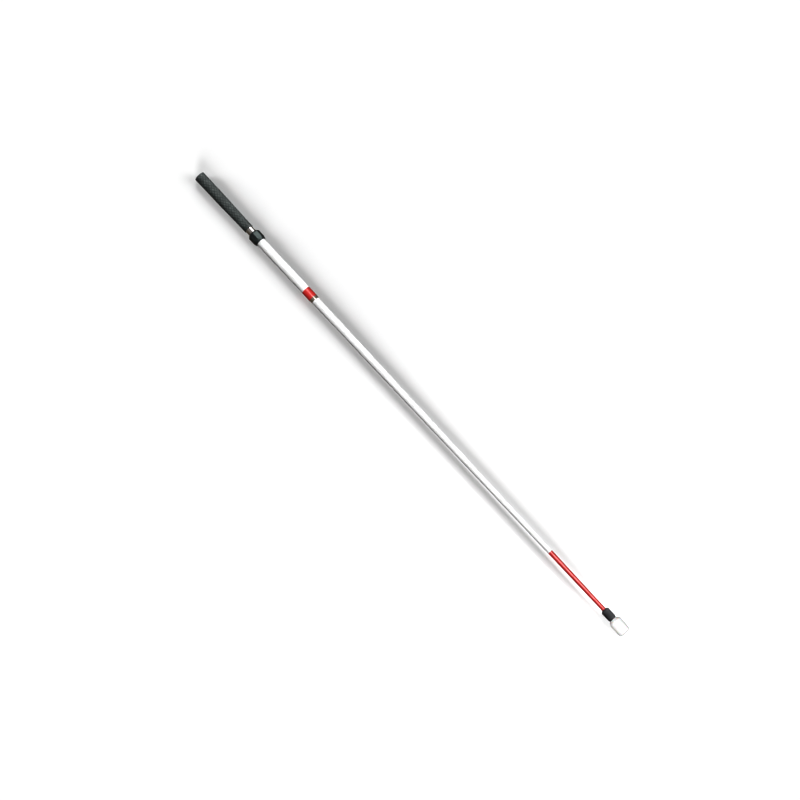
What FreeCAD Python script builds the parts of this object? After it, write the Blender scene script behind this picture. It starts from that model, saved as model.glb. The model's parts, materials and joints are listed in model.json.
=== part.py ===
"""Adjustable white cane with a roller tip, as a parametric FreeCAD document.

The cane lies along X with its butt at -X and its tip at +X, on the floor Z = 0.
Every profile is drawn in the cane's own axes: station along the axis, measured
from the butt, and radius. A body's Placement then lays it in the row frame.
"""
import FreeCAD, Part
import Sketcher
import math
import os

# ---------------------------------------------------------------- driving dimensions, mm
SIZES = {
    # whole cane
    "cane_length": 1300.0,
    "axis_height": 13.0,
    # rubber grip
    "grip_length": 157.0,
    "grip_parallel_end": 66.0,
    "grip_butt_radius": 11.75,
    "grip_waist_radius": 11.55,
    "grip_end_radius": 10.1,
    "grip_cap_thickness": 4.0,
    "grip_lip_length": 5.0,
    "grip_vent_radius": 1.5,
    "grip_butt_round": 1.6,
    "grip_end_round": 0.5,
    "grip_tape_thickness": 0.25,
    # sliding handle tube and its guide
    "handle_tube_end": 307.0,
    "handle_tube_radius": 8.6,
    "handle_tube_wall": 0.9,
    "guide_sleeve_start": 266.5,
    "guide_sleeve_radius": 8.95,
    "retaining_ring_start": 265.0,
    "retaining_ring_width": 1.2,
    "retaining_ring_depth": 0.4,
    "retaining_ring_radius": 8.9,
    "retaining_ring_gap": 3.0,
    "plug_depth": 14.0,
    "plug_bore_radius": 4.0,
    "plug_head_length": 3.0,
    "plug_head_radius": 8.9,
    "running_gap": 0.03,
    "axial_gap": 0.3,
    # twist lock
    "nut_start": 169.5,
    "nut_end": 195.0,
    "nut_face_radius": 10.0,
    "nut_chamfer_length": 4.6,
    "nut_taper_start": 188.0,
    "nut_corner_radius": 14.07,
    "nut_flat_radius": 13.0,
    "nut_rim_radius": 12.3,
    "nut_end_wall": 2.5,
    "nut_hole_radius": 8.9,
    "nut_thread_radius": 10.65,
    "clamp_head_length": 2.0,
    "clamp_head_radius": 10.3,
    "clamp_cone_top_radius": 10.0,
    "clamp_cone_end_radius": 9.15,
    "clamp_cone_length": 6.8,
    "clamp_slot_width": 1.5,
    "lock_body_start": 174.6,
    "lock_body_web_start": 181.4,
    "lock_body_web_length": 1.8,
    "lock_body_end": 194.0,
    "lock_body_radius": 10.6,
    # thick upper tube
    "upper_tube_radius": 9.75,
    "upper_tube_wall": 0.75,
    "upper_tube_end": 359.0,
    "film_thickness": 0.15,
    "red_band_start": 336.0,
    "end_ring_end": 366.5,
    "spigot_start": 327.0,
    "spigot_end": 401.0,
    "spigot_lower_radius": 7.8,
    "spigot_bore_radius": 6.4,
    # thin tapered shaft
    "shaft_end": 1254.0,
    "shaft_top_radius": 9.02,
    "shaft_end_radius": 4.1,
    "shaft_socket_end": 402.0,
    "shaft_bore_top_radius": 7.55,
    "shaft_bore_end_radius": 3.1,
    "shaft_film_thickness": 0.12,
    "red_start": 1079.0,
    # ferrule and axle
    "ferrule_start": 1237.0,
    "ferrule_bevel_length": 3.8,
    "ferrule_lip": 0.35,
    "ferrule_top_radius": 8.85,
    "ferrule_low_radius": 8.7,
    "ferrule_turn_in": 1259.5,
    "ferrule_end": 1263.6,
    "ferrule_end_radius": 7.5,
    "insert_start": 1242.0,
    "insert_end": 1262.0,
    "insert_radius": 6.2,
    "axle_thread_radius": 2.9,
    "axle_flange_radius": 4.5,
    "axle_flange_end": 1264.0,
    "axle_neck_radius": 3.5,
    "axle_journal_radius": 2.5,
    "axle_end": 1291.5,
    # ball bearings
    "bearing_start": 1266.5,
    "bearing_pitch": 16.0,
    "bearing_width": 4.0,
    "bearing_radius": 6.5,
    "race_inner_shoulder": 3.75,
    "race_outer_shoulder": 5.3,
    "ball_pitch_radius": 4.5,
    "ball_radius": 1.15,
    "ball_count": 8.0,
    "cage_width": 3.2,
    "cage_inner_radius": 3.95,
    "cage_outer_radius": 5.1,
    "spacer_radius": 3.5,
    "axle_nut_height": 4.0,
    "axle_nut_flat_radius": 4.0,
    "axle_nut_corner_radius": 4.62,
    # roller tip
    "tip_start": 1264.1,
    "tip_mouth_radius": 7.5,
    "tip_shoulder_end": 1270.3,
    "tip_radius": 13.0,
    "tip_dome_height": 0.6,
    "tip_dome_radius": 7.5,
    "tip_shoulder_round": 5.0,
    "tip_end_round": 6.0,
    "tip_cavity_radius": 5.2,
    "tip_cavity_end": 1293.0,
    "shield_start": 1264.7,
    "shield_thickness": 0.8,
    "shield_hole_radius": 4.0,
}

FLATS_OF_LOCK_NUT = 8
FLATS_OF_AXLE_NUT = 6
MATCH = 1e-4        # two sizes this close are the same
CENTRE_POINT = 3    # a sketch's number for the centre of a round


class Length:
    """A number together with the sheet expression that produces it."""

    def __init__(self, value, text):
        self.value = value
        self.text = text

    def _join(self, other, sign, value):
        text = other.text if isinstance(other, Length) else repr(other)
        return Length(value, f"({self.text} {sign} {text})")

    def __add__(self, other):
        return self._join(other, "+", self.value + number(other))

    def __sub__(self, other):
        return self._join(other, "-", self.value - number(other))

    def __mul__(self, other):
        return self._join(other, "*", self.value * number(other))

    def __truediv__(self, other):
        return self._join(other, "/", self.value / number(other))


def number(item):
    return item.value if isinstance(item, Length) else item


doc = FreeCAD.newDocument("white_cane")
sheet = doc.addObject("Spreadsheet::Sheet", "Sizes")
for row, (alias, value) in enumerate(SIZES.items(), start=1):
    sheet.set(f"A{row}", alias)
    sheet.set(f"B{row}", str(value))
    sheet.setAlias(f"B{row}", alias)
doc.recompute()


class Cells:
    """Reads a driving dimension by its alias, as a Length bound to its cell."""

    def __getattr__(self, alias):
        return Length(SIZES[alias], f"Sizes.{alias}")


S = Cells()
NODES = []


# ---------------------------------------------------------------- helpers
def new_body(label):
    """An empty body laid in the row frame, registered as the sub-part of that name."""
    body = doc.addObject("PartDesign::Body", label)
    body.Label = label
    lay_on_floor(body)
    NODES.append(body)
    return body


def lay_on_floor(item):
    """Puts the butt at minus half the length along X, and the axis at its height."""
    item.setExpression("Placement.Base.x", "-Sizes.cane_length / 2")
    item.setExpression("Placement.Base.z", "Sizes.axis_height")


def new_sketch(body, role, name):
    plane = next(item for item in body.Origin.OriginFeatures if item.Role == role)
    sketch = body.newObject("Sketcher::SketchObject", name)
    sketch.AttachmentSupport = [(plane, "")]
    sketch.MapMode = "FlatFace"
    return sketch


def place_vertex(sketch, edge, point):
    """Fixes the first end of an edge at two Lengths from the sketch's origin."""
    for kind, size in (("DistanceX", point[0]), ("DistanceY", point[1])):
        if number(size) == 0:
            # a vertex on an axis of the sketch: -1 is the horizontal one, -2 the vertical one
            axis = -1 if kind == "DistanceY" else -2
            sketch.addConstraint(Sketcher.Constraint("PointOnObject", edge, 1, axis))
            continue
        index = sketch.addConstraint(
            Sketcher.Constraint(kind, -1, 1, edge, 1, number(size)))
        if isinstance(size, Length):
            sketch.setExpression(f"Constraints[{index}]", size.text)


def draw_outline(sketch, points):
    """A closed outline of straight edges through the points, each bound to the sheet."""
    count = len(points)
    corners = [FreeCAD.Vector(number(across), number(up), 0) for across, up in points]
    for index in range(count):
        sketch.addGeometry(Part.LineSegment(corners[index], corners[(index + 1) % count]), False)
    for index in range(count):
        sketch.addConstraint(
            Sketcher.Constraint("Coincident", index, 2, (index + 1) % count, 1))
    for index, point in enumerate(points):
        place_vertex(sketch, index, point)


def revolved(label, points):
    """A body turned about the cane's axis from (station, radius) points."""
    body = new_body(label)
    sketch = new_sketch(body, "XZ_Plane", label + "_profile")
    draw_outline(sketch, points)
    turned = body.newObject("PartDesign::Revolution", label + "_turned")
    turned.Profile = sketch
    turned.ReferenceAxis = (sketch, ["H_Axis"])
    turned.Angle = 360
    doc.recompute()
    return body


def tube_outline(start, end, inner, outer):
    return [(start, inner), (start, outer), (end, outer), (end, inner)]


def cut(body, name, points, role="YZ_Plane", both_sides=False):
    """A pocket right through the body from an outline, which must remove material."""
    before = body.Shape.Volume
    sketch = new_sketch(body, role, name + "_outline")
    draw_outline(sketch, points)
    pocket = body.newObject("PartDesign::Pocket", name)
    pocket.Profile = sketch
    pocket.Type = "ThroughAll"
    pocket.SideType = "Symmetric" if both_sides else "One side"
    pocket.Reversed = not both_sides
    doc.recompute()
    if not body.Shape.Volume < before:
        raise RuntimeError(f"{name} removed nothing")
    return pocket


def repeat_round(body, feature, count):
    """Repeats a feature evenly round the cane's axis."""
    before = body.Shape.Volume
    pattern = body.newObject("PartDesign::PolarPattern", feature.Name + "_round")
    pattern.Originals = [feature]
    axis = next(item for item in body.Origin.OriginFeatures if item.Role == "X_Axis")
    pattern.Axis = (axis, [""])
    pattern.Angle = 360
    pattern.Occurrences = count
    body.Tip = pattern
    doc.recompute()
    if not body.Shape.Volume < before:
        raise RuntimeError(f"{feature.Name} was not repeated")


def rim_edge(feature, station, radius):
    """Name of the feature's circular edge at a station and radius in the cane's own axes."""
    for index, edge in enumerate(feature.Shape.Edges, start=1):
        curve = edge.Curve
        if not isinstance(curve, Part.Circle):
            continue
        off_radius = abs(curve.Radius - number(radius))
        off_station = abs(curve.Center.x - number(station))
        if off_radius < MATCH and off_station < MATCH:
            return f"Edge{index}"
    raise RuntimeError(f"{feature.Name} has no rim at {number(station)}")


def round_rim(body, station, radius, size):
    sharp = body.Tip
    edge = rim_edge(sharp, station, radius)
    fillet = body.newObject("PartDesign::Fillet", body.Label + "_round")
    fillet.Base = (sharp, [edge])
    fillet.setExpression("Radius", size.text)
    body.Tip = fillet
    doc.recompute()
    return fillet


def flats(body, name, flat_radius, reach, count):
    """Planes the body to a regular polygon of that many sides, one side facing +Z."""
    side = [(reach * -1.0, flat_radius), (reach * -1.0, reach), (reach, reach), (reach, flat_radius)]
    repeat_round(body, cut(body, name, side, both_sides=True), count)


def between(start, start_size, end, end_size, station):
    """The size on the straight line between two stations."""
    share = (station - start) / (end - start)
    return start_size + (end_size - start_size) * share


def shaft_radius(station):
    return between(S.upper_tube_end, S.shaft_top_radius, S.shaft_end, S.shaft_end_radius, station)


def shaft_film_radius(station):
    return shaft_radius(station) + S.shaft_film_thickness


# ---------------------------------------------------------------- handle
def make_grip_sleeve():
    glued = S.handle_tube_radius + S.grip_tape_thickness
    lip = S.grip_length - S.grip_lip_length
    body = revolved("grip_sleeve", [
        (0, S.grip_vent_radius),
        (0, S.grip_butt_radius),
        (S.grip_parallel_end, S.grip_waist_radius),
        (S.grip_length, S.grip_end_radius),
        (S.grip_length, S.handle_tube_radius),
        (lip, S.handle_tube_radius),
        (lip, glued),
        (S.grip_cap_thickness, glued),
        (S.grip_cap_thickness, S.grip_vent_radius)])
    round_rim(body, 0, S.grip_butt_radius, S.grip_butt_round)
    round_rim(body, S.grip_length, S.grip_end_radius, S.grip_end_round)


def make_grip_tape():
    glued = S.handle_tube_radius + S.grip_tape_thickness
    revolved("grip_tape", tube_outline(
        S.grip_cap_thickness, S.grip_length - S.grip_lip_length, S.handle_tube_radius, glued))


def make_handle_tube():
    bore = S.handle_tube_radius - S.handle_tube_wall
    groove = S.handle_tube_radius - S.retaining_ring_depth
    groove_end = S.retaining_ring_start + S.retaining_ring_width
    revolved("handle_tube", [
        (S.grip_cap_thickness, bore),
        (S.grip_cap_thickness, S.handle_tube_radius),
        (S.retaining_ring_start, S.handle_tube_radius),
        (S.retaining_ring_start, groove),
        (groove_end, groove),
        (groove_end, S.handle_tube_radius),
        (S.handle_tube_end, S.handle_tube_radius),
        (S.handle_tube_end, bore)])


def make_guide():
    """The sleeve that slides in the thick tube, and the two pieces that keep it in place."""
    revolved("guide_sleeve", tube_outline(
        S.guide_sleeve_start, S.handle_tube_end - S.axial_gap,
        S.handle_tube_radius + S.running_gap, S.guide_sleeve_radius))
    ring = revolved("guide_retaining_ring", tube_outline(
        S.retaining_ring_start, S.retaining_ring_start + S.retaining_ring_width,
        S.handle_tube_radius - S.retaining_ring_depth, S.retaining_ring_radius))
    half_gap = S.retaining_ring_gap / 2
    cut(ring, "ring_gap", [
        (half_gap * -1.0, S.handle_tube_wall), (half_gap * -1.0, S.upper_tube_radius),
        (half_gap, S.upper_tube_radius), (half_gap, S.handle_tube_wall)], both_sides=True)
    bore = S.handle_tube_radius - S.handle_tube_wall
    revolved("tube_end_plug", [
        (S.handle_tube_end - S.plug_depth, S.plug_bore_radius),
        (S.handle_tube_end - S.plug_depth, bore),
        (S.handle_tube_end, bore),
        (S.handle_tube_end, S.plug_head_radius),
        (S.handle_tube_end + S.plug_head_length, S.plug_head_radius),
        (S.handle_tube_end + S.plug_head_length, S.plug_bore_radius)])


# ---------------------------------------------------------------- twist lock
def make_lock_nut():
    inner_face = S.nut_start + S.nut_end_wall
    body = revolved("lock_nut", [
        (S.nut_start, S.nut_hole_radius),
        (S.nut_start, S.nut_face_radius),
        (S.nut_start + S.nut_chamfer_length, S.nut_corner_radius),
        (S.nut_taper_start, S.nut_corner_radius),
        (S.nut_end, S.nut_rim_radius),
        (S.nut_end, S.nut_thread_radius),
        (inner_face, S.nut_thread_radius),
        (inner_face, S.nut_hole_radius)])
    flats(body, "nut_flat", S.nut_flat_radius, S.nut_corner_radius * 1.2, FLATS_OF_LOCK_NUT)


def make_clamp_ring():
    start = S.nut_start + S.nut_end_wall + S.running_gap * 2.0
    head_end = start + S.clamp_head_length
    cone_end = head_end + S.clamp_cone_length
    bore = S.handle_tube_radius + S.running_gap
    body = revolved("clamp_ring", [
        (start, bore),
        (start, S.clamp_head_radius),
        (head_end, S.clamp_head_radius),
        (head_end, S.clamp_cone_top_radius),
        (cone_end, S.clamp_cone_end_radius),
        (cone_end, bore)])
    half_slot = S.clamp_slot_width / 2
    cut(body, "clamp_slot", [
        (half_slot * -1.0, S.handle_tube_wall), (half_slot * -1.0, S.nut_rim_radius),
        (half_slot, S.nut_rim_radius), (half_slot, S.handle_tube_wall)], both_sides=True)


def make_lock_body():
    """Threaded sleeve on the thick tube's end: cone seat, web, and the socket for the tube."""
    web_end = S.lock_body_web_start + S.lock_body_web_length
    head_end = S.nut_start + S.nut_end_wall + S.running_gap * 2.0 + S.clamp_head_length
    seat = {}
    for name, station in (("top", S.lock_body_start), ("low", S.lock_body_web_start)):
        cone = between(head_end, S.clamp_cone_top_radius, head_end + S.clamp_cone_length,
                       S.clamp_cone_end_radius, station)
        seat[name] = cone + S.running_gap * 2.0
    bore = S.handle_tube_radius + S.running_gap * 2.0
    revolved("lock_body", [
        (S.lock_body_start, seat["top"]),
        (S.lock_body_start, S.lock_body_radius),
        (S.lock_body_end, S.lock_body_radius),
        (S.lock_body_end, S.upper_tube_radius),
        (web_end, S.upper_tube_radius),
        (web_end, bore),
        (S.lock_body_web_start, bore),
        (S.lock_body_web_start, seat["low"])])


# ---------------------------------------------------------------- tubes and films
def make_upper_tube():
    start = S.lock_body_web_start + S.lock_body_web_length
    bore = S.upper_tube_radius - S.upper_tube_wall
    film = S.upper_tube_radius + S.film_thickness
    revolved("upper_tube", tube_outline(start, S.upper_tube_end, bore, S.upper_tube_radius))
    revolved("upper_white_sleeve", tube_outline(
        S.lock_body_end, S.red_band_start, S.upper_tube_radius, film))
    revolved("red_band", tube_outline(
        S.red_band_start, S.upper_tube_end, S.upper_tube_radius, film))


def make_end_ring():
    film = S.upper_tube_radius + S.film_thickness
    revolved("end_ring", [
        (S.upper_tube_end, shaft_radius(S.upper_tube_end)),
        (S.upper_tube_end, film),
        (S.end_ring_end, shaft_film_radius(S.end_ring_end)),
        (S.end_ring_end, shaft_radius(S.end_ring_end))])


def make_joint_spigot():
    tube_bore = S.upper_tube_radius - S.upper_tube_wall
    revolved("joint_spigot", [
        (S.spigot_start, S.spigot_bore_radius),
        (S.spigot_start, tube_bore),
        (S.upper_tube_end, tube_bore),
        (S.upper_tube_end, S.spigot_lower_radius),
        (S.spigot_end, S.spigot_lower_radius),
        (S.spigot_end, S.spigot_bore_radius)])


def make_lower_shaft():
    revolved("lower_shaft", [
        (S.upper_tube_end, S.spigot_lower_radius),
        (S.upper_tube_end, S.shaft_top_radius),
        (S.shaft_end, S.shaft_end_radius),
        (S.shaft_end, S.shaft_bore_end_radius),
        (S.shaft_socket_end, S.shaft_bore_top_radius),
        (S.shaft_socket_end, S.spigot_lower_radius)])
    for label, start, end in (
            ("lower_white_sleeve", S.end_ring_end, S.red_start),
            ("lower_red_sleeve", S.red_start, S.insert_start)):
        revolved(label, [
            (start, shaft_radius(start)),
            (start, shaft_film_radius(start)),
            (end, shaft_film_radius(end)),
            (end, shaft_radius(end))])


# ---------------------------------------------------------------- ferrule and axle
def make_tip_ferrule():
    bevel_end = S.ferrule_start + S.ferrule_bevel_length
    mouth = shaft_film_radius(S.ferrule_start)
    revolved("tip_ferrule", [
        (S.ferrule_start, mouth),
        (S.ferrule_start, mouth + S.ferrule_lip),
        (bevel_end, S.ferrule_top_radius),
        (S.ferrule_turn_in, S.ferrule_low_radius),
        (S.ferrule_end, S.ferrule_end_radius),
        (S.ferrule_end, S.axle_flange_radius),
        (S.insert_end, S.axle_flange_radius),
        (S.insert_end, S.insert_radius),
        (S.insert_start, S.insert_radius),
        (S.insert_start, shaft_film_radius(S.insert_start))])


def make_ferrule_insert():
    revolved("ferrule_insert", [
        (S.insert_start, shaft_radius(S.insert_start)),
        (S.insert_start, S.insert_radius),
        (S.insert_end, S.insert_radius),
        (S.insert_end, S.axle_thread_radius),
        (S.shaft_end, S.axle_thread_radius),
        (S.shaft_end, S.shaft_end_radius)])


def make_tip_axle():
    revolved("tip_axle", [
        (S.shaft_end, 0),
        (S.shaft_end, S.axle_thread_radius),
        (S.insert_end, S.axle_thread_radius),
        (S.insert_end, S.axle_flange_radius),
        (S.axle_flange_end, S.axle_flange_radius),
        (S.axle_flange_end, S.axle_neck_radius),
        (S.bearing_start, S.axle_neck_radius),
        (S.bearing_start, S.axle_journal_radius),
        (S.axle_end, S.axle_journal_radius),
        (S.axle_end, 0)])


def make_axle_nut():
    start = S.bearing_start + S.bearing_pitch + S.bearing_width
    body = revolved("axle_nut", tube_outline(
        start, start + S.axle_nut_height, S.axle_journal_radius, S.axle_nut_corner_radius))
    flats(body, "nut_side", S.axle_nut_flat_radius, S.axle_nut_corner_radius * 1.2, FLATS_OF_AXLE_NUT)


# ---------------------------------------------------------------- ball bearings
def groove_ring(label, start, inner, outer):
    """A plain race with the ball groove turned into it."""
    body = revolved(label, tube_outline(start, start + S.bearing_width, inner, outer))
    before = body.Shape.Volume
    middle = start + S.bearing_width / 2
    ball_groove(body, label + "_groove", middle, "H_Axis")
    if not body.Shape.Volume < before:
        raise RuntimeError(f"{label} has no groove")
    return body


def ball_groove(body, name, middle, axis):
    """Cuts a ball-sized round, turned about the cane's axis or about its own diameter."""
    sketch = new_sketch(body, "XZ_Plane", name + "_round")
    radius = S.ball_radius + S.running_gap
    centre = FreeCAD.Vector(number(middle), number(S.ball_pitch_radius), 0)
    circle = Part.Circle(centre, FreeCAD.Vector(0, 0, 1), number(radius))
    if axis == "H_Axis":
        sketch.addGeometry(circle, False)
    else:
        arc = Part.ArcOfCircle(circle, 0, math.pi)
        sketch.addGeometry(arc, False)
        sketch.addGeometry(Part.LineSegment(arc.EndPoint, arc.StartPoint), False)
        sketch.addConstraint(Sketcher.Constraint("Coincident", 0, 2, 1, 1))
        sketch.addConstraint(Sketcher.Constraint("Coincident", 1, 2, 0, 1))
        sketch.addConstraint(Sketcher.Constraint("Horizontal", 1))
        sketch.addConstraint(Sketcher.Constraint("PointOnObject", 0, CENTRE_POINT, 1))
    index = sketch.addConstraint(Sketcher.Constraint("Radius", 0, number(radius)))
    sketch.setExpression(f"Constraints[{index}]", radius.text)
    for kind, size in (("DistanceX", middle), ("DistanceY", S.ball_pitch_radius)):
        index = sketch.addConstraint(
            Sketcher.Constraint(kind, -1, 1, 0, CENTRE_POINT, number(size)))
        sketch.setExpression(f"Constraints[{index}]", size.text)
    groove = body.newObject("PartDesign::Groove", name)
    groove.Profile = sketch
    groove.ReferenceAxis = (sketch, [axis])
    groove.Angle = 360
    doc.recompute()
    return groove


def make_balls(label, middle):
    """The balls of one bearing, as one group of separate solids."""
    balls = []
    count = int(SIZES["ball_count"])
    for index in range(count):
        ball = doc.addObject("Part::Sphere", f"{label}_{index + 1}")
        ball.setExpression("Radius", S.ball_radius.text)
        turn = f"{index} * 360 deg / Sizes.ball_count"
        ball.setExpression("Placement.Base.x", middle.text)
        ball.setExpression("Placement.Base.y", f"Sizes.ball_pitch_radius * -sin({turn})")
        ball.setExpression("Placement.Base.z", f"Sizes.ball_pitch_radius * cos({turn})")
        balls.append(ball)
    group = doc.addObject("Part::Compound", label)
    group.Label = label
    group.Links = balls
    lay_on_floor(group)
    NODES.append(group)
    doc.recompute()


def make_cage(label, middle):
    half = S.cage_width / 2
    body = revolved(label, tube_outline(
        middle - half, middle + half, S.cage_inner_radius, S.cage_outer_radius))
    before = body.Shape.Volume
    pocket = ball_groove(body, label + "_pocket", middle, "Edge2")
    if not body.Shape.Volume < before:
        raise RuntimeError(f"{label} has no pocket")
    repeat_round(body, pocket, int(SIZES["ball_count"]))


def make_bearing(name, start):
    middle = start + S.bearing_width / 2
    groove_ring(f"{name}_bearing_inner_race", start, S.axle_journal_radius, S.race_inner_shoulder)
    groove_ring(f"{name}_bearing_outer_race", start, S.race_outer_shoulder, S.bearing_radius)
    make_balls(f"{name}_bearing_balls", middle)
    make_cage(f"{name}_bearing_cage", middle)


def make_bearings():
    make_bearing("upper", S.bearing_start)
    make_bearing("lower", S.bearing_start + S.bearing_pitch)
    revolved("bearing_spacer", tube_outline(
        S.bearing_start + S.bearing_width, S.bearing_start + S.bearing_pitch,
        S.axle_journal_radius, S.spacer_radius))


# ---------------------------------------------------------------- roller tip
def make_roller_tip():
    step = S.bearing_start + S.bearing_pitch + S.bearing_width
    dome_start = S.cane_length - S.tip_dome_height
    body = revolved("roller_tip", [
        (S.tip_start, S.bearing_radius),
        (S.tip_start, S.tip_mouth_radius),
        (S.tip_shoulder_end, S.tip_radius),
        (dome_start, S.tip_radius),
        (S.cane_length, S.tip_dome_radius),
        (S.cane_length, 0),
        (S.tip_cavity_end, 0),
        (S.tip_cavity_end, S.tip_cavity_radius),
        (step, S.tip_cavity_radius),
        (step, S.bearing_radius)])
    round_rim(body, S.tip_shoulder_end, S.tip_radius, S.tip_shoulder_round)
    round_rim(body, dome_start, S.tip_radius, S.tip_end_round)


def make_dust_shield():
    revolved("dust_shield", tube_outline(
        S.shield_start, S.shield_start + S.shield_thickness,
        S.shield_hole_radius, S.bearing_radius))


# ---------------------------------------------------------------- check and write
def check(node):
    shape = node.Shape
    if shape.isNull() or not shape.isValid() or shape.Volume <= 0:
        raise RuntimeError(f"{node.Label} has a bad shape")


def main():
    make_grip_sleeve()
    make_grip_tape()
    make_handle_tube()
    make_guide()
    make_lock_nut()
    make_clamp_ring()
    make_lock_body()
    make_upper_tube()
    make_end_ring()
    make_joint_spigot()
    make_lower_shaft()
    make_tip_ferrule()
    make_ferrule_insert()
    make_tip_axle()
    make_axle_nut()
    make_bearings()
    make_roller_tip()
    make_dust_shield()
    doc.recompute()

    for item in doc.Objects:
        if "Invalid" in item.State or "Error" in item.State:
            raise RuntimeError(f"{item.Label} failed: {item.State}")
    os.makedirs("parts", exist_ok=True)
    for node in NODES:
        check(node)
        node.Shape.exportStep(f"parts/{node.Label}.step")
        print(f"{node.Label}: {len(node.Shape.Solids)} solid(s), {node.Shape.Volume:.2f} mm3")


main()
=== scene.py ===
"""Looks of the white cane: its detailed pieces, materials, floor, lights and camera.

The cane lies along X, butt at -X and roller tip at +X. Every length is in metres in the
row frame. A piece is turned about the cane's axis from an outline of (x, radius, round)
corners, and a relief function may press a pattern into its skin.
"""
import json
import math

import bmesh
import bpy
import numpy as np
from mathutils import Matrix, Vector


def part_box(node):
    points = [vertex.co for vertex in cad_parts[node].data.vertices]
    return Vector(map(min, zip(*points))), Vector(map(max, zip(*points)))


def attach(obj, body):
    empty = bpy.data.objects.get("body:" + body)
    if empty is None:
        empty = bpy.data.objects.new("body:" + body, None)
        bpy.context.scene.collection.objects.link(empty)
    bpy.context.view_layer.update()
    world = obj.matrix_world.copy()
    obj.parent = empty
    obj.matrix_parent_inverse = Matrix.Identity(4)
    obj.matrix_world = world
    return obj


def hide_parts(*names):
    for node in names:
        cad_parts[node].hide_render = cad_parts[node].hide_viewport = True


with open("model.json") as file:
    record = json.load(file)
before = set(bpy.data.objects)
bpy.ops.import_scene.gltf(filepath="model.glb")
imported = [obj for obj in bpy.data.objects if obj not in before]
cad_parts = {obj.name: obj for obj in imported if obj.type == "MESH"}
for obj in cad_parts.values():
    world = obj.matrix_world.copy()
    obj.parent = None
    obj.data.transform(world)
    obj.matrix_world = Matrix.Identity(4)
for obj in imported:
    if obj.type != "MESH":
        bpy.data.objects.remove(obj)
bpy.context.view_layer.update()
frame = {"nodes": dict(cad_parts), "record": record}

MM = 0.001
ALONG = Vector((1, 0, 0))           # from the butt to the tip
SLOT_OF_NODE = {part["node"]: part["material_slot"] for part in frame["record"]["subparts"]}


# ---------------------------------------------------------------- places read from the frame
def span(node):
    """Where a node starts and ends along the cane."""
    low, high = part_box(node)
    return low.x, high.x


def radius_of(node):
    """Half of a node's height: the radius of a round one."""
    low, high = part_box(node)
    return (high.z - low.z) / 2


AXIS_HEIGHT = sum(corner.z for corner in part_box("roller_tip")) / 2
TUBE_RADIUS = radius_of("handle_tube")


def placed(name, data):
    """A new object in the scene."""
    item = bpy.data.objects.new(name, data)
    bpy.context.scene.collection.objects.link(item)
    return item


# ---------------------------------------------------------------- turned pieces
MERGE_DISTANCE = 1e-7
ROUND_ROOM = 0.49                   # the most of a side that a corner's round takes


def arc_points(before, corner, after, size, steps):
    """The round that replaces a corner of an outline, as points on a tangent arc."""
    before, corner, after = (np.array(point, float) for point in (before, corner, after))
    back = (before - corner) / np.linalg.norm(before - corner)
    ahead = (after - corner) / np.linalg.norm(after - corner)
    half_angle = math.acos(np.clip(back @ ahead, -1, 1)) / 2
    reach = size / math.tan(half_angle)
    room = ROUND_ROOM * min(np.linalg.norm(before - corner), np.linalg.norm(after - corner))
    if reach > room:
        reach, size = room, room * math.tan(half_angle)
    middle = back + ahead
    centre = corner + middle / np.linalg.norm(middle) * size / math.sin(half_angle)
    first, last = corner + back * reach - centre, corner + ahead * reach - centre
    turn = math.atan2(first[0] * last[1] - first[1] * last[0], first @ last)
    points = []
    for step in range(steps + 1):
        angle = turn * step / steps
        cos, sin = math.cos(angle), math.sin(angle)
        points.append((centre[0] + first[0] * cos - first[1] * sin,
                       centre[1] + first[0] * sin + first[1] * cos))
    return points


def rounded(outline, steps=6):
    """A closed outline of (x, radius, round) corners as plain points, with its rounds drawn."""
    points = []
    for index, (x, radius, size) in enumerate(outline):
        if size == 0:
            points.append((x, radius))
            continue
        before, after = outline[index - 1], outline[(index + 1) % len(outline)]
        points += arc_points(before[:2], (x, radius), after[:2], size, steps)
    return points


def divided(points, longest, skin):
    """The same closed outline, with no straight run longer than that outside the skin's radius."""
    result = []
    for index, point in enumerate(points):
        ahead = points[(index + 1) % len(points)]
        length = math.hypot(ahead[0] - point[0], ahead[1] - point[1])
        outside = min(point[1], ahead[1]) > skin
        count = max(1, math.ceil(length / longest)) if outside else 1
        for step in range(count):
            share = step / count
            result.append((point[0] + (ahead[0] - point[0]) * share,
                           point[1] + (ahead[1] - point[1]) * share))
    return result


def turned(name, points, body, replaced, segments=128, relief=None, sharp=35):
    """A piece turned about the cane's axis from a closed outline of (x, radius) points.

    relief(x, radius, turn) gives how far inwards each point of the skin is pressed, and an
    edge is sharp from that many degrees. The piece stands for the replaced CAD node.
    """
    x = np.array([point[0] for point in points])[:, None]
    radius = np.array([point[1] for point in points])[:, None]
    turn = np.linspace(0, 2 * math.pi, segments, endpoint=False)[None, :]
    x, radius, turn = np.broadcast_arrays(x, radius, turn)
    if relief is not None:
        radius = radius - relief(x, radius, turn)
    places = np.stack([x, radius * np.sin(turn), radius * np.cos(turn) + AXIS_HEIGHT], axis=-1)
    rings = len(points)
    faces = []
    for ring in range(rings):
        here, ahead = ring * segments, (ring + 1) % rings * segments
        for step in range(segments):
            beside = (step + 1) % segments
            faces.append((here + step, ahead + step, ahead + beside, here + beside))
    mesh = bpy.data.meshes.new(name)
    mesh.from_pydata(places.reshape(-1, 3).tolist(), [], faces)
    drop_poles(mesh)
    mesh.polygons.foreach_set("use_smooth", [True] * len(mesh.polygons))
    mesh.set_sharp_from_angle(angle=math.radians(sharp))
    piece = placed(name, mesh)
    piece.data.materials.append(MATERIALS[SLOT_OF_NODE[replaced]])
    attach(piece, body)
    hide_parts(replaced)


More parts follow.
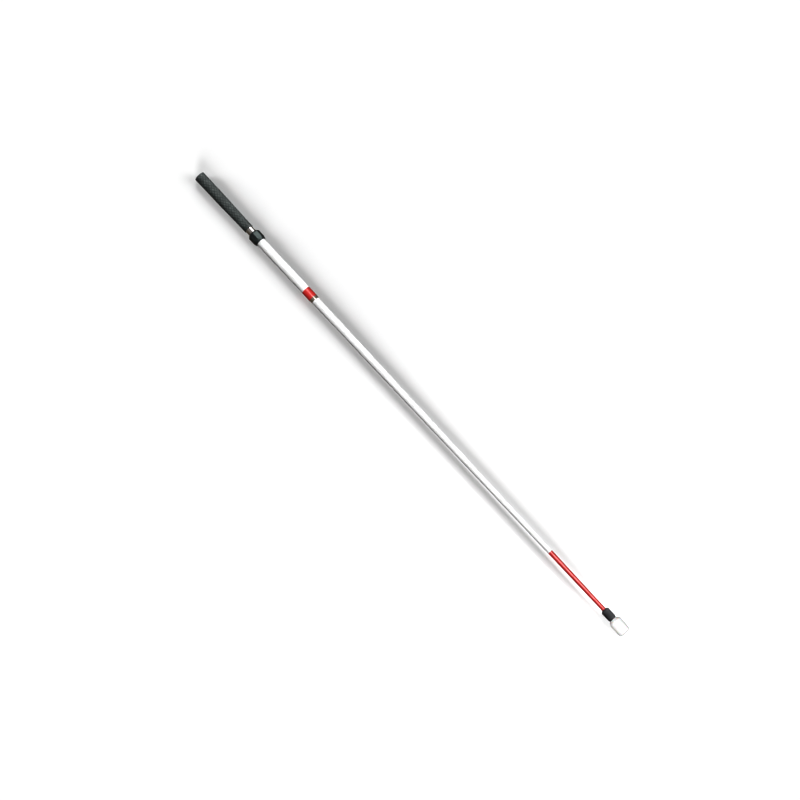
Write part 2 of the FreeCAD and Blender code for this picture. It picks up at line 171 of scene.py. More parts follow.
def drop_poles(mesh):
    """Merges each ring that lies on the axis to one point, and makes the faces look outwards."""
    work = bmesh.new()
    work.from_mesh(mesh)
    bmesh.ops.remove_doubles(work, verts=work.verts, dist=MERGE_DISTANCE)
    bmesh.ops.recalc_face_normals(work, faces=work.faces)
    work.to_mesh(mesh)
    work.free()


def smooth_step(value, low, high):
    """0 up to low and 1 from high, with a smooth rise between them."""
    share = np.clip((value - low) / (high - low), 0, 1)
    return share * share * (3 - 2 * share)


def bell(distance, width):
    """1 at no distance, falling smoothly to about a third at that width."""
    return np.exp(-(distance / width) ** 2)


# ---------------------------------------------------------------- materials
LOZENGES_AROUND = 10                # of the grip's pattern
LOZENGE_LENGTH = 9 * MM
NOISE_ROUGHNESS = 0.55
DRAWN = (0.05, 1.0)                 # marks along the cane, as scales along it and across it
ROUND = (1.0, 0.02)                 # marks that go round the cane
CELL = 2.6 * MM                     # of the reflective film
CELL_EDGE = 0.93                    # how light the lines between the cells are
FILM_RADIUS = 9.8 * MM


class Surface:
    """A node material with one Principled shader, and short calls for its procedural parts."""

    def __init__(self, name):
        self.material = bpy.data.materials.new(name)
        self.material.use_nodes = True
        self.tree = self.material.node_tree
        self.shader = self.tree.nodes["Principled BSDF"]
        self.place = self.tree.nodes.new("ShaderNodeTexCoord").outputs["Object"]

    def set(self, **sockets):
        """Sets inputs of the shader, by their names with _ for each space."""
        for name, value in sockets.items():
            self.shader.inputs[name.replace("_", " ")].default_value = value

    def node(self, kind, **settings):
        made = self.tree.nodes.new(kind)
        for name, value in settings.items():
            setattr(made, name, value)
        return made

    def join(self, source, target):
        self.tree.links.new(source, target)

    def feed(self, target, value):
        if isinstance(value, bpy.types.NodeSocket):
            self.join(value, target)
        else:
            target.default_value = value

    def compute(self, operation, *values):
        made = self.node("ShaderNodeMath", operation=operation)
        for target, value in zip(made.inputs, values):
            self.feed(target, value)
        return made.outputs[0]

    def stretched(self, along, across):
        """Coordinates scaled along the cane and across it."""
        made = self.node("ShaderNodeMapping")
        self.join(self.place, made.inputs["Vector"])
        made.inputs["Scale"].default_value = (along, across, across)
        return made.outputs[0]

    def noise(self, size, detail, place=None):
        """Noise of about that size in metres, from 0 to 1."""
        made = self.node("ShaderNodeTexNoise")
        self.join(place or self.place, made.inputs["Vector"])
        made.inputs["Scale"].default_value = 1 / size
        made.inputs["Detail"].default_value = detail
        made.inputs["Roughness"].default_value = NOISE_ROUGHNESS
        return made.outputs["Fac"]

    def along_and_turn(self):
        """The place along the cane, and the angle round it from straight up."""
        split = self.node("ShaderNodeSeparateXYZ")
        self.join(self.place, split.inputs[0])
        up = self.compute("SUBTRACT", split.outputs["Z"], AXIS_HEIGHT)
        return split.outputs["X"], self.compute("ARCTAN2", split.outputs["Y"], up)

    def ramp(self, value, low, high, to_low=0.0, to_high=1.0):
        """A value's smooth rise from one result at low to another at high."""
        made = self.node("ShaderNodeMapRange", interpolation_type="SMOOTHSTEP")
        for name, item in (("From Min", low), ("From Max", high),
                           ("To Min", to_low), ("To Max", to_high)):
            made.inputs[name].default_value = item
        self.join(value, made.inputs["Value"])
        return made.outputs["Result"]

    def blend(self, share, first, second):
        """A colour between two, by a share from 0 to 1."""
        made = self.node("ShaderNodeMix", data_type="RGBA")
        self.join(share, made.inputs["Factor"])
        for name, colour in (("A", first), ("B", second)):
            self.feed(made.inputs[name], (*colour, 1) if isinstance(colour, tuple) else colour)
        return made.outputs["Result"]

    def colour(self, value):
        self.join(value, self.shader.inputs["Base Color"])

    def rough(self, value, low, high, roughness):
        """Roughness between two, by a value that goes from low to high."""
        self.join(self.ramp(value, low, high, *roughness), self.shader.inputs["Roughness"])

    def bump(self, height, depth):
        """Raises the surface by a height of 0 to 1 times a depth in metres."""
        made = self.node("ShaderNodeBump")
        made.inputs["Strength"].default_value = 1.0
        made.inputs["Distance"].default_value = depth
        self.join(height, made.inputs["Height"])
        self.join(made.outputs["Normal"], self.shader.inputs["Normal"])


def groove_shade_mask(made):
    """0 in the grip's spiral grooves and 1 on the lozenges between them: the mask for the shade
    painted into the grooves.
    """
    along, turn = made.along_and_turn()
    start = made.compute("SUBTRACT", along, span("grip_sleeve")[0])
    lengths = made.compute("DIVIDE", start, LOZENGE_LENGTH)
    around = made.compute("MULTIPLY", turn, LOZENGES_AROUND / (2 * math.pi))
    lowest = None
    for hand in ("ADD", "SUBTRACT"):
        half_turns = made.compute("MULTIPLY", made.compute(hand, around, lengths), math.pi)
        wave = made.compute("ABSOLUTE", made.compute("SINE", half_turns))
        lowest = wave if lowest is None else made.compute("MINIMUM", lowest, wave)
    return made.ramp(lowest, 0.15, 0.6)


def rubber_grip(name):
    """Black rubber: grooves painted darker as shade in the recesses, and lozenges worn lighter in
    patches.
    """
    made = Surface(name)
    made.set(Specular_IOR_Level=0.6)
    patches = made.ramp(made.noise(8 * MM, 4.0), 0.4, 0.6)
    grain = made.noise(0.9 * MM, 2.0)
    raised = made.blend(patches, (0.045, 0.052, 0.051), (0.115, 0.131, 0.129))
    crest_tone = made.blend(made.ramp(grain, 0.3, 0.7), (0.05, 0.059, 0.058), raised)
    # Painted shade: the grooves take a darker colour than the lozenge tops, in place of the shade
    # that falls in them.
    made.colour(made.blend(groove_shade_mask(made), (0.022, 0.026, 0.026), crest_tone))
    made.rough(patches, 0.0, 1.0, (0.42, 0.54))
    made.bump(grain, 0.12 * MM)
    return made.material


def tape(name):
    """Masking tape with fibres along it."""
    made = Surface(name)
    fibres = made.noise(1.2 * MM, 3.0, made.stretched(0.2, 1.0))
    made.colour(made.blend(fibres, (0.62, 0.55, 0.4), (0.78, 0.72, 0.58)))
    made.rough(fibres, 0.2, 0.8, (0.7, 0.9))
    made.bump(fibres, 0.05 * MM)
    return made.material


def metal(name, light, dark, roughness, marks, size, depth):
    """Metal with a faint film, and fine marks drawn along the cane or going round it."""
    made = Surface(name)
    made.set(Metallic=1.0)
    lines = made.noise(size, 4.0, made.stretched(*marks))
    film = made.noise(20 * MM, 2.0)
    made.colour(made.blend(made.ramp(film, 0.3, 0.7), light, dark))
    made.rough(lines, 0.3, 0.7, roughness)
    made.bump(lines, depth)
    return made.material


def polished_tube(name):
    return metal(name, light=(0.9, 0.9, 0.91), dark=(0.82, 0.82, 0.83), roughness=(0.1, 0.2),
                 marks=DRAWN, size=0.8 * MM, depth=0.004 * MM)


def anodised_tube(name):
    return metal(name, light=(0.72, 0.73, 0.74), dark=(0.62, 0.63, 0.65), roughness=(0.3, 0.42),
                 marks=DRAWN, size=0.8 * MM, depth=0.01 * MM)


def ring_metal(name):
    return metal(name, light=(0.92, 0.87, 0.8), dark=(0.8, 0.75, 0.69), roughness=(0.18, 0.26),
                 marks=ROUND, size=0.4 * MM, depth=0.006 * MM)


def bearing_steel(name):
    return metal(name, light=(0.72, 0.73, 0.75), dark=(0.6, 0.61, 0.63), roughness=(0.12, 0.22),
                 marks=ROUND, size=0.3 * MM, depth=0.004 * MM)


def spring_steel(name):
    return metal(name, light=(0.4, 0.42, 0.46), dark=(0.25, 0.26, 0.3), roughness=(0.2, 0.34),
                 marks=(1.0, 0.05), size=0.4 * MM, depth=0.006 * MM)


def moulded(name, light, dark, roughness, grain=0.6 * MM, depth=0.03 * MM):
    """Moulded plastic or rubber: a fine grain and slightly uneven colour."""
    made = Surface(name)
    clouds = made.ramp(made.noise(9 * MM, 3.0), 0.3, 0.7)
    skin = made.noise(grain, 3.0)
    made.colour(made.blend(clouds, dark, light))
    made.rough(skin, 0.3, 0.7, roughness)
    made.bump(skin, depth)
    return made


def lock_black(name):
    made = moulded(name, (0.017, 0.023, 0.023), (0.009, 0.011, 0.013), (0.28, 0.4))
    made.set(Specular_IOR_Level=1.0, Specular_Tint=(0.86, 1.0, 0.98, 1.0))
    return made.material


def natural_nylon(name):
    return moulded(name, (0.8, 0.77, 0.69), (0.7, 0.67, 0.6), (0.42, 0.55)).material


def ferrule_rubber(name):
    return moulded(name, (0.065, 0.065, 0.07), (0.045, 0.046, 0.049), (0.62, 0.8),
                   grain=0.7 * MM, depth=0.07 * MM).material


def tip_nylon(name):
    made = moulded(name, (0.9, 0.9, 0.89), (0.86, 0.86, 0.85), (0.34, 0.48))
    made.set(Subsurface_Weight=0.15, Subsurface_Scale=2 * MM)
    return made.material


def reflective_film(name, light, dark):
    """Reflective sheeting: a clear glossy face over a fine pattern of six-sided cells."""
    made = Surface(name)
    made.set(Coat_Weight=0.7, Coat_Roughness=0.12, Coat_IOR=1.5, IOR=1.5)
    along, turn = made.along_and_turn()
    around = made.compute("MULTIPLY", turn, FILM_RADIUS)
    waves = None
    for degrees in (0, 60, 120):
        angle = math.radians(degrees)
        phase = made.compute(
            "ADD",
            made.compute("MULTIPLY", along, 2 * math.pi / CELL * math.cos(angle)),
            made.compute("MULTIPLY", around, 2 * math.pi / CELL * math.sin(angle)))
        wave = made.compute("COSINE", phase)
        waves = wave if waves is None else made.compute("ADD", waves, wave)
    cells = made.ramp(waves, -1.5, 0.2)
    drift = made.ramp(made.noise(30 * MM, 2.0), 0.3, 0.7)
    face = made.blend(drift, dark, light)
    edge = tuple(part * CELL_EDGE for part in dark)
    made.colour(made.blend(made.ramp(cells, 0.0, 1.0), edge, face))
    made.rough(cells, 0.0, 1.0, (0.5, 0.38))
    made.bump(cells, 0.02 * MM)
    return made.material


def white_film(name):
    return reflective_film(name, (0.93, 0.93, 0.93), (0.9, 0.9, 0.905))


def red_film(name):
    return reflective_film(name, (0.54, 0.04, 0.037), (0.48, 0.034, 0.031))


MAKERS = {
    "grip_rubber": rubber_grip,
    "grip_tape": tape,
    "polished_tube": polished_tube,
    "lock_black": lock_black,
    "natural_nylon": natural_nylon,
    "spring_steel": spring_steel,
    "white_film": white_film,
    "red_film": red_film,
    "ring_metal": ring_metal,
    "tube_metal": anodised_tube,
    "ferrule_rubber": ferrule_rubber,
    "bearing_steel": bearing_steel,
    "tip_nylon": tip_nylon,
}
MATERIALS = {slot: maker(slot + "_finish") for slot, maker in MAKERS.items()}


def finish_frame_nodes():
    """Gives every CAD node the material of its slot."""
    for node, piece in frame["nodes"].items():
        piece.data.materials.clear()
        piece.data.materials.append(MATERIALS[SLOT_OF_NODE[node]])


# ---------------------------------------------------------------- handle
GRIP_WAIST = 66 * MM                # from the butt
GRIP_WAIST_RADIUS = 11.55 * MM
GRIP_END_RADIUS = 10.1 * MM
GRIP_CAP = 4 * MM                   # thickness of the butt's wall
GRIP_LIP = 5 * MM                   # length of the bare end that touches the tube
GRIP_TAPE = 0.25 * MM
GRIP_STEP = 0.45 * MM               # between the rings of points that carry the pattern
GRIP_BORE_MARGIN = 0.7 * MM         # what lies nearer the tube needs no such rings
VENT_RADIUS = 1.5 * MM
BUTT_GROOVE_INSIDE = 4.2 * MM       # from the butt's edge inwards
BUTT_GROOVE_OUTSIDE = 3.2 * MM
BUTT_GROOVE_DEPTH = 0.3 * MM
LOZENGE_GROOVE_DEPTH = 0.7 * MM
LOZENGE_GROOVE_WIDTH = 0.16         # as a share of a lozenge
DIMPLE_DEPTH = 0.45 * MM
DIMPLE_WIDTH = 0.15                 # as a share of a lozenge
FIELD_START = 10 * MM               # of the lozenges, from the butt
FIELD_END = 8 * MM                  # from the grip's other end
FIELD_FADE = 1.2 * MM
SKIN_THICKNESS = 1.2 * MM           # what lies nearer the tube isn't pressed
BAND_DEPTH = 0.3 * MM
BAND_WIDTH = 0.35 * MM
BANDS_FROM_BUTT = (6.5 * MM, 8.3 * MM)
BANDS_FROM_END = (6.3 * MM, 4.5 * MM)
TUBE_WALL = 0.9 * MM
RING_GROOVE_DEPTH = 0.4 * MM
EDGE_ROUND = 0.2 * MM


def grip_relief(x, radius, turn):
    """Crossing spiral grooves with a dimple in each lozenge, and plain bands at both ends."""
    start, end = span("grip_sleeve")
    along = x - start
    field = (smooth_step(along, FIELD_START, FIELD_START + FIELD_FADE)
             * smooth_step(end - x, FIELD_END, FIELD_END + FIELD_FADE))
    around = LOZENGES_AROUND * turn / (2 * math.pi)
    up, down = around + along / LOZENGE_LENGTH, around - along / LOZENGE_LENGTH
    groove = np.maximum(*(bell(phase - np.round(phase), LOZENGE_GROOVE_WIDTH)
                          for phase in (down, up)))
    dimple = bell(np.hypot(up - np.floor(up) - 0.5, down - np.floor(down) - 0.5), DIMPLE_WIDTH)
    bands = np.zeros_like(x)
    for place in BANDS_FROM_BUTT:
        bands = np.maximum(bands, bell(along - place, BAND_WIDTH))
    for place in BANDS_FROM_END:
        bands = np.maximum(bands, bell(end - x - place, BAND_WIDTH))
    depth = field * (LOZENGE_GROOVE_DEPTH * groove + DIMPLE_DEPTH * dimple) + BAND_DEPTH * bands
    return np.where(radius > TUBE_RADIUS + SKIN_THICKNESS, depth, 0)


def make_grip():
    start, end = span("grip_sleeve")
    butt_radius = radius_of("grip_sleeve")
    glued = TUBE_RADIUS + GRIP_TAPE
    groove_inside = butt_radius - BUTT_GROOVE_INSIDE
    groove_outside = butt_radius - BUTT_GROOVE_OUTSIDE
    outline = rounded([
        (start, VENT_RADIUS, 0.3 * MM),
        (start, groove_inside, 0),
        (start + BUTT_GROOVE_DEPTH, groove_inside + BUTT_GROOVE_DEPTH, 0),
        (start + BUTT_GROOVE_DEPTH, groove_outside - BUTT_GROOVE_DEPTH, 0),
        (start, groove_outside, 0),
        (start, butt_radius, 0.6 * MM),
        (start + GRIP_WAIST, GRIP_WAIST_RADIUS, 0),
        (end, GRIP_END_RADIUS, 0.5 * MM),
        (end, TUBE_RADIUS, 0),
        (end - GRIP_LIP, TUBE_RADIUS, 0),
        (end - GRIP_LIP, glued, 0),
        (start + GRIP_CAP, glued, 0),
        (start + GRIP_CAP, VENT_RADIUS, 0)])
    points = divided(outline, GRIP_STEP, TUBE_RADIUS + GRIP_BORE_MARGIN)
    turned("grip", points, "handle", "grip_sleeve", 192, grip_relief, sharp=50)


def make_tube():
    start, end = span("handle_tube")
    bore = TUBE_RADIUS - TUBE_WALL
    groove_start, groove_end = span("guide_retaining_ring")
    groove = TUBE_RADIUS - RING_GROOVE_DEPTH
    turned("polished_handle_tube", rounded([
        (start, bore, 0),
        (start, TUBE_RADIUS, EDGE_ROUND),
        (groove_start, TUBE_RADIUS, 0),
        (groove_start, groove, 0),
        (groove_end, groove, 0),
        (groove_end, TUBE_RADIUS, 0),
        (end, TUBE_RADIUS, EDGE_ROUND),
        (end, bore, 0)]), "handle", "handle_tube")


# ---------------------------------------------------------------- twist lock
NUT_FLATS = 8
NUT_SOFTNESS = 0.2 * MM             # of the edges between the flats
NUT_THREAD_RADIUS = 10.65 * MM
NUT_CLEARANCE = 0.3 * MM            # round the tube
NUT_WALL = 2.5 * MM                 # thickness of the end towards the grip
NUT_FACE_RADIUS = 10.0 * MM
NUT_CHAMFER_END = 4.6 * MM          # from the end towards the grip
NUT_TAPER_START = 18.5 * MM
NUT_RIM_RADIUS = 12.3 * MM
NUT_STEP = 0.8 * MM                 # between the rings of points that carry the flats
BORE_MARGIN = 0.5 * MM


def nut_relief(x, radius, turn):
    """Planes the turned nut to eight flats, with soft edges."""
    side = 2 * math.pi / NUT_FLATS
    off = np.mod(turn + side / 2, side) - side / 2
    flat = radius_of("lock_nut") / np.cos(off)
    soft = (radius + flat - np.sqrt((radius - flat) ** 2 + NUT_SOFTNESS ** 2)) / 2
    return radius - soft


def make_nut():
    start, end = span("lock_nut")
    corner = radius_of("lock_nut") / math.cos(math.pi / NUT_FLATS)
    hole = TUBE_RADIUS + NUT_CLEARANCE
    outline = rounded([
        (start, hole, 0.3 * MM),
        (start, NUT_FACE_RADIUS, 0.6 * MM),
        (start + NUT_CHAMFER_END, corner, 1.2 * MM),
        (start + NUT_TAPER_START, corner, 0.8 * MM),
        (end, NUT_RIM_RADIUS, 0.35 * MM),
        (end, NUT_THREAD_RADIUS, EDGE_ROUND),
        (start + NUT_WALL, NUT_THREAD_RADIUS, 0),
        (start + NUT_WALL, hole, 0)])
    points = divided(outline, NUT_STEP, NUT_THREAD_RADIUS + BORE_MARGIN)
    turned("octagonal_lock_nut", points, "nut", "lock_nut", 256, nut_relief, sharp=60)


# ---------------------------------------------------------------- films, ring and tubes
SEAM_AT = math.radians(160)         # round from straight up
SEAM_WIDTH = math.radians(14)
SEAM_HEIGHT = 0.06 * MM
THICK_FILM = 0.15 * MM
THIN_FILM = 0.12 * MM
SHAFT_LOW_RADIUS = 4.1 * MM
RING_LAND = 1.1 * MM                # the ring's plain band, before the small step to its cone
RING_STEP = 0.2 * MM
RING_CONE_START = 1.6 * MM          # from the ring's thick end


def film_seam(x, radius, turn):
    """The film's overlap: a low step along its whole length, on the underside."""
    into = (turn - SEAM_AT) / SEAM_WIDTH
    lap = np.clip(into * 12, 0, 1) * smooth_step(1 - into, 0, 1)
    return -SEAM_HEIGHT * lap


def make_film(name, node, inner_start, inner_end, thickness):
    start, end = span(node)
    turned(name, rounded([
        (start, inner_start, 0),
        (start, inner_start + thickness, 0.05 * MM),
        (end, inner_end + thickness, 0.05 * MM),
        (end, inner_end, 0)], steps=3), "shaft", node, 144, film_seam)


def shaft_radius(x):
    """The tapered shaft's radius at a place along the cane."""
    start, end = span("lower_shaft")
    top = radius_of("lower_shaft")
    return top + (SHAFT_LOW_RADIUS - top) * (x - start) / (end - start)


def make_films():
    tube = radius_of("upper_tube")
    make_film("upper_white_film", "upper_white_sleeve", tube, tube, THICK_FILM)
    make_film("red_band_film", "red_band", tube, tube, THICK_FILM)
    for name, node in (("lower_white_film", "lower_white_sleeve"),
                       ("lower_red_film", "lower_red_sleeve")):
        start, end = span(node)
        make_film(name, node, shaft_radius(start), shaft_radius(end), THIN_FILM)


def make_ring():
    start, end = span("end_ring")
    big, small = radius_of("upper_tube") + THICK_FILM, shaft_radius(end) + THIN_FILM
    slope = (small - big) / (end - start)
    turned("conical_end_ring", rounded([
        (start, shaft_radius(start), 0),
        (start, big, 0.15 * MM),
        (start + RING_LAND, big, 0.1 * MM),
        (start + RING_LAND + RING_STEP, big - RING_STEP, 0.1 * MM),
        (start + RING_CONE_START, big + slope * RING_CONE_START, 0.1 * MM),
        (end, small, 0.15 * MM),
        (end, shaft_radius(end), 0)], steps=4), "shaft", "end_ring")


# ---------------------------------------------------------------- ferrule and tip
FERRULE_SOCKET_RADIUS = 4.31 * MM   # round the red film
FERRULE_LIP = 0.35 * MM
FERRULE_BEVEL_END = 3.8 * MM        # from the end towards the grip
FERRULE_TAPER = 0.15 * MM
FERRULE_SHOULDER = 4.1 * MM         # from the end towards the tip
FACE_RADIUS = 7.5 * MM              # of the flat faces of the ferrule and the tip
TIP_SHOULDER_END = 6.2 * MM         # from the mouth
TIP_SIDE_END = 0.6 * MM             # from the rounded end
TIP_CAVITY_RADIUS = 5.2 * MM
TIP_WALL = 7 * MM                   # thickness of the solid end
TIP_STEP = 0.5 * MM
TIP_SKIN = 0.5 * MM                 # the widest part, which the mould line goes round
MOULD_LINE_AT = 17 * MM             # from the mouth
MOULD_LINE_WIDTH = 0.25 * MM
MOULD_LINE_HEIGHT = 0.05 * MM


def make_ferrule():
    start, end = span("tip_ferrule")
    top = radius_of("tip_ferrule")
    insert_start, insert_end = span("ferrule_insert")
    insert = radius_of("ferrule_insert")
    flange = radius_of("tip_axle")
    turned("rubber_ferrule", rounded([
        (start, FERRULE_SOCKET_RADIUS, 0),
        (start, FERRULE_SOCKET_RADIUS + FERRULE_LIP, 0.15 * MM),
        (start + FERRULE_BEVEL_END, top, 0.9 * MM),
        (end - FERRULE_SHOULDER, top - FERRULE_TAPER, 1.5 * MM),
        (end, FACE_RADIUS, 0.6 * MM),
        (end, flange, 0),
        (insert_end, flange, 0),
        (insert_end, insert, 0),
        (insert_start, insert, 0),
        (insert_start, FERRULE_SOCKET_RADIUS, 0)]), "shaft", "tip_ferrule")


def tip_relief(x, radius, turn):
    """A faint moulding line round the widest part."""
    skin = radius > radius_of("roller_tip") - TIP_SKIN
    line = bell(x - span("roller_tip")[0] - MOULD_LINE_AT, MOULD_LINE_WIDTH)
    return np.where(skin, -MOULD_LINE_HEIGHT * line, 0)


def make_tip():
    start, end = span("roller_tip")
    tip = radius_of("roller_tip") - MOULD_LINE_HEIGHT
    bearing = radius_of("upper_bearing_outer_race")
    step = span("lower_bearing_outer_race")[1]
    outline = rounded([
        (start, bearing, 0.2 * MM),
        (start, FACE_RADIUS, 0.6 * MM),
        (start + TIP_SHOULDER_END, tip, 5 * MM),
        (end - TIP_SIDE_END, tip, 6 * MM),
        (end, FACE_RADIUS, 3 * MM),
        (end, 0, 0),
        (end - TIP_WALL, 0, 0),
        (end - TIP_WALL, TIP_CAVITY_RADIUS, 0),
        (step, TIP_CAVITY_RADIUS, 0),
        (step, bearing, 0)], steps=14)
    points = divided(outline, TIP_STEP, bearing + BORE_MARGIN)
    turned("marshmallow_roller_tip", points, "tip", "roller_tip", 160, tip_relief)


# ---------------------------------------------------------------- camera and floor
VIEW_TILT = -22.5                   # degrees from straight above the cane: on its -Y side
CAMERA_DISTANCE = 4.504
CAMERA_ALONG = 0.753                # from the cane's middle towards the tip
AIM_ALONG = -0.0091                 # the picture's centre, along the cane and beside it
AIM_ASIDE = 0.0125
CANE_SLOPE = math.radians(47.01)    # the cane runs down to the right in the picture
LENS = 100
SENSOR_WIDTH = 36
CLIP_START, CLIP_END = 0.1, 200
FLOOR_HALF = 60.0
FLOOR_COLOURS = ((0.795, 0.795, 0.795), (0.805, 0.805, 0.805))


def off_vertical(angle):
    """A direction in the plane across the cane, that many degrees from straight up towards +Y."""
    turn = math.radians(angle)
    return Vector((0, math.sin(turn), math.cos(turn)))


def make_camera():
    axis = Vector((0, 0, AXIS_HEIGHT))
    eye = ALONG * CAMERA_ALONG + axis + off_vertical(VIEW_TILT) * CAMERA_DISTANCE
    aim = ALONG * AIM_ALONG + axis
    # The aim lies aside of the cane as the camera sees it, so it is worked out from a first aim.
    for _ in range(2):
        ahead = (aim - eye).normalized()
        along = (ALONG - ahead * ahead.x).normalized()
        aside = along.cross(ahead)
        aside = aside if aside.y > 0 else -aside
        aim = ALONG * AIM_ALONG + axis - aside * AIM_ASIDE
    right = along * math.cos(CANE_SLOPE) + aside * math.sin(CANE_SLOPE)
    up = aside * math.cos(CANE_SLOPE) - along * math.sin(CANE_SLOPE)
    data = bpy.data.cameras.new("camera")
    data.lens = LENS
    data.sensor_width = SENSOR_WIDTH
    data.clip_start, data.clip_end = CLIP_START, CLIP_END
    camera = placed("camera", data)
    turn = Matrix((right, up, right.cross(up))).transposed()
    camera.matrix_world = Matrix.Translation(eye) @ turn.to_4x4()
    bpy.context.scene.camera = camera


def make_floor():
    """A pale sheet that takes shadows, and adds no light or reflection of its own."""
    half = FLOOR_HALF
    mesh = bpy.data.meshes.new("floor")
    mesh.from_pydata([(-half, -half, 0), (half, -half, 0), (half, half, 0), (-half, half, 0)],
                     [], [(0, 1, 2, 3)])
    floor = placed("floor", mesh)
    made = Surface("floor_paper")
    made.colour(made.blend(made.noise(4 * MM, 3.0), *FLOOR_COLOURS))
    made.set(Roughness=0.9, Specular_IOR_Level=0.0)
    floor.data.materials.append(made.material)
    floor.visible_diffuse = False
    floor.visible_glossy = False
    floor.visible_shadow = False
    return floor


# ---------------------------------------------------------------- lights
SUN_DISTANCE = 5.0
STRIP_DISTANCE = 3.0
STRIP_LENGTH = 7.0
STRIP_MIDDLE = -0.3                 # along the cane
SPOT_SIZE = 0.1
DISPLAY_GAMMA = 0.7
ROOM_LIGHT = (0.055, 0.055, 0.055, 1)
ROOM_BELOW = (0.13, 0.112, 0.09, 1)
ROOM_ABOVE = (0.34, 0.325, 0.305, 1)
WHITE = (1, 1, 1, 1)


def only_on(lamp, targets):
    """Lets a lamp light only those objects."""
    group = bpy.data.collections.new("lit_by_" + lamp.name)
    for item in targets:
        group.objects.link(item)
    lamp.light_linking.receiver_collection = group


def soft_sun(name, angle, light, softness, lean=0):
    """A far softbox, that many degrees wide, with its light on a surface that faces it.

    Its direction is an angle across the cane and a lean towards the tip, from straight up.
    """
    data = bpy.data.lights.new(name, "SUN")
    data.energy = light * math.pi
    data.angle = math.radians(softness)
    leaning = math.radians(lean)
    direction = off_vertical(angle) * math.cos(leaning) + ALONG * math.sin(leaning)
    lamp = placed(name, data)
    lamp.location = Vector((0, 0, AXIS_HEIGHT)) + direction * SUN_DISTANCE
    lamp.rotation_euler = direction.to_track_quat("Z", "Y").to_euler()
    lamp.visible_glossy = False
    return lamp


def strip(name, angle, width, radiance):
    """A strip light along the cane, that many degrees wide, that shows only in reflections."""
    data = bpy.data.lights.new(name, "AREA")
    data.shape = "RECTANGLE"
    across = 2 * STRIP_DISTANCE * math.tan(math.radians(width) / 2)
    data.size, data.size_y = STRIP_LENGTH, across
    data.energy = radiance * math.pi * STRIP_LENGTH * across
    lamp = placed(name, data)
    direction = off_vertical(angle)
    turn = Matrix((ALONG, -direction.cross(ALONG), direction)).transposed()
    place = Vector((STRIP_MIDDLE, 0, AXIS_HEIGHT)) + direction * STRIP_DISTANCE
    lamp.matrix_world = Matrix.Translation(place) @ turn.to_4x4()
    lamp.visible_diffuse = False
    lamp.visible_camera = False
    return lamp


def floor_spot(name, place, along, spread, power):
    """A soft-edged round light, aimed at a place along the cane."""
    data = bpy.data.lights.new(name, "SPOT")
    data.spot_size = math.radians(spread)
    data.spot_blend = 1.0
    data.shadow_soft_size = SPOT_SIZE
    data.energy = power
    lamp = placed(name, data)
    lamp.location = place
    lamp.rotation_euler = (Vector(place) - ALONG * along).to_track_quat("Z", "Y").to_euler()
    return lamp


def make_world():
    """White to the camera, a warm grey room in reflections, and nearly dark as a light."""
    world = bpy.data.worlds.new("studio")
    world.use_nodes = True
    world.cycles.sampling_method = "NONE"
    bpy.context.scene.world = world
    tree = world.node_tree
    place = tree.nodes.new("ShaderNodeTexCoord")
    split = tree.nodes.new("ShaderNodeSeparateXYZ")
    tree.links.new(place.outputs["Generated"], split.inputs[0])
    room = tree.nodes.new("ShaderNodeValToRGB")
    tree.links.new(split.outputs["Z"], room.inputs["Fac"])
    below, above = room.color_ramp.elements
    below.position, below.color = 0.0, ROOM_BELOW
    above.position, above.color = 0.9, ROOM_ABOVE
    rays = tree.nodes.new("ShaderNodeLightPath")
    shown = tree.nodes["Background"].outputs[0]
    tree.nodes["Background"].inputs["Color"].default_value = ROOM_LIGHT
    for ray, colour in (("Is Glossy Ray", room.outputs["Color"]), ("Is Camera Ray", None)):
        other = tree.nodes.new("ShaderNodeBackground")
        other.inputs["Color"].default_value = WHITE
        if colour is not None:
            tree.links.new(colour, other.inputs["Color"])
        mix = tree.nodes.new("ShaderNodeMixShader")
        tree.links.new(rays.outputs[ray], mix.inputs["Fac"])
        tree.links.new(shown, mix.inputs[1])
        tree.links.new(other.outputs[0], mix.inputs[2])
        shown = mix.outputs[0]
    tree.links.new(shown, tree.nodes["World Output"].inputs["Surface"])


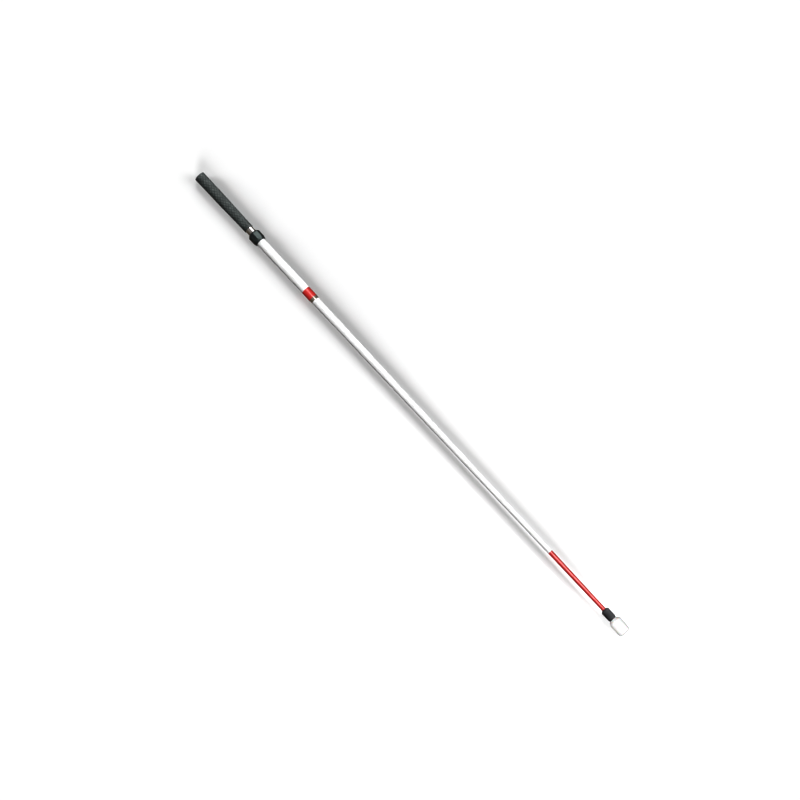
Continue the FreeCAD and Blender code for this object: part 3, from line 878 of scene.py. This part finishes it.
def make_light(floor):
    """Soft lamps, each only on the floor or on the pieces that it suits."""
    pieces = [item for item in bpy.context.scene.objects if item.type == "MESH" and item != floor]
    named = {item.name: item for item in pieces}
    grip, nut = named["grip"], named["octagonal_lock_nut"]
    ring, tip = named["conical_end_ring"], named["marshmallow_roller_tip"]
    red_band, lower_red = named["red_band_film"], named["lower_red_film"]
    white = [named["upper_white_film"], named["lower_white_film"]]
    bright = [red_band, lower_red, *white, tip]
    for item in white:
        item.visible_diffuse = False

    lamps = [
        (soft_sun("far_softbox_to_tip", 42, 0.55, 42, 40), [floor]),
        (soft_sun("far_softbox_to_butt", 42, 0.55, 42, -40), [floor]),
        (soft_sun("near_softbox_to_tip", -62, 0.84, 26, 40), [floor]),
        (soft_sun("near_softbox_to_butt", -62, 0.84, 26, -40), [floor]),
        (floor_spot("far_spot", (0.5, 0.9, 0.8), 0.45, 62, 19), [floor]),
        (floor_spot("tip_spot", (0.72, -0.36, 0.95), 0.72, 30, 26), [floor]),
        (soft_sun("overhead_softbox", 9, 1.9, 30), [item for item in pieces if item not in bright]),
        (soft_sun("white_softbox", 3, 1.36, 20), white),
        (soft_sun("white_far_side", 96, 0.3, 50), white),
        (soft_sun("white_near_side", -125, 0.1, 30), white),
        (soft_sun("floor_bounce", 180, 0.5, 50), [item for item in pieces if item != tip]),
        (soft_sun("red_softbox", -8, 1.55, 30), [red_band, lower_red]),
        (soft_sun("tip_softbox", -21, 1.25, 10), [tip]),
        (soft_sun("tip_far_side", 112, 0.24, 30), [tip]),
        (soft_sun("tip_near_side", -140, 0.12, 30), [tip]),
        (soft_sun("tip_end", 0, 0.42, 60, 65), [tip]),
        (soft_sun("butt_end", 0, 0.8, 60, -65), [grip, nut]),
        (strip("key_strip", 38, 50, 2.2),
         [item for item in pieces if item not in [*bright, grip, nut, ring]]),
        (strip("grip_strip", 34, 20, 4.6), [grip]),
        (strip("nut_strip", 27, 23, 3.5), [nut]),
        (strip("corner_strip", -25, 8, 3.0), [nut]),
        (strip("pale_strip", 2, 12, 4.0), [*white, tip]),
        (strip("ring_strip", 2, 12, 2.8), [ring]),
        (strip("red_strip", 2, 9, 19.0), [red_band]),
        (strip("lower_red_strip", 0, 34, 9.0), [lower_red])]
    for lamp, targets in lamps:
        only_on(lamp, targets)


# ---------------------------------------------------------------- make everything
make_camera()
finish_frame_nodes()
make_grip()
make_tube()
make_nut()
make_films()
make_ring()
make_ferrule()
make_tip()
make_world()
make_light(make_floor())
view = bpy.context.scene.view_settings
view.view_transform = "Standard"
view.gamma = DISPLAY_GAMMA
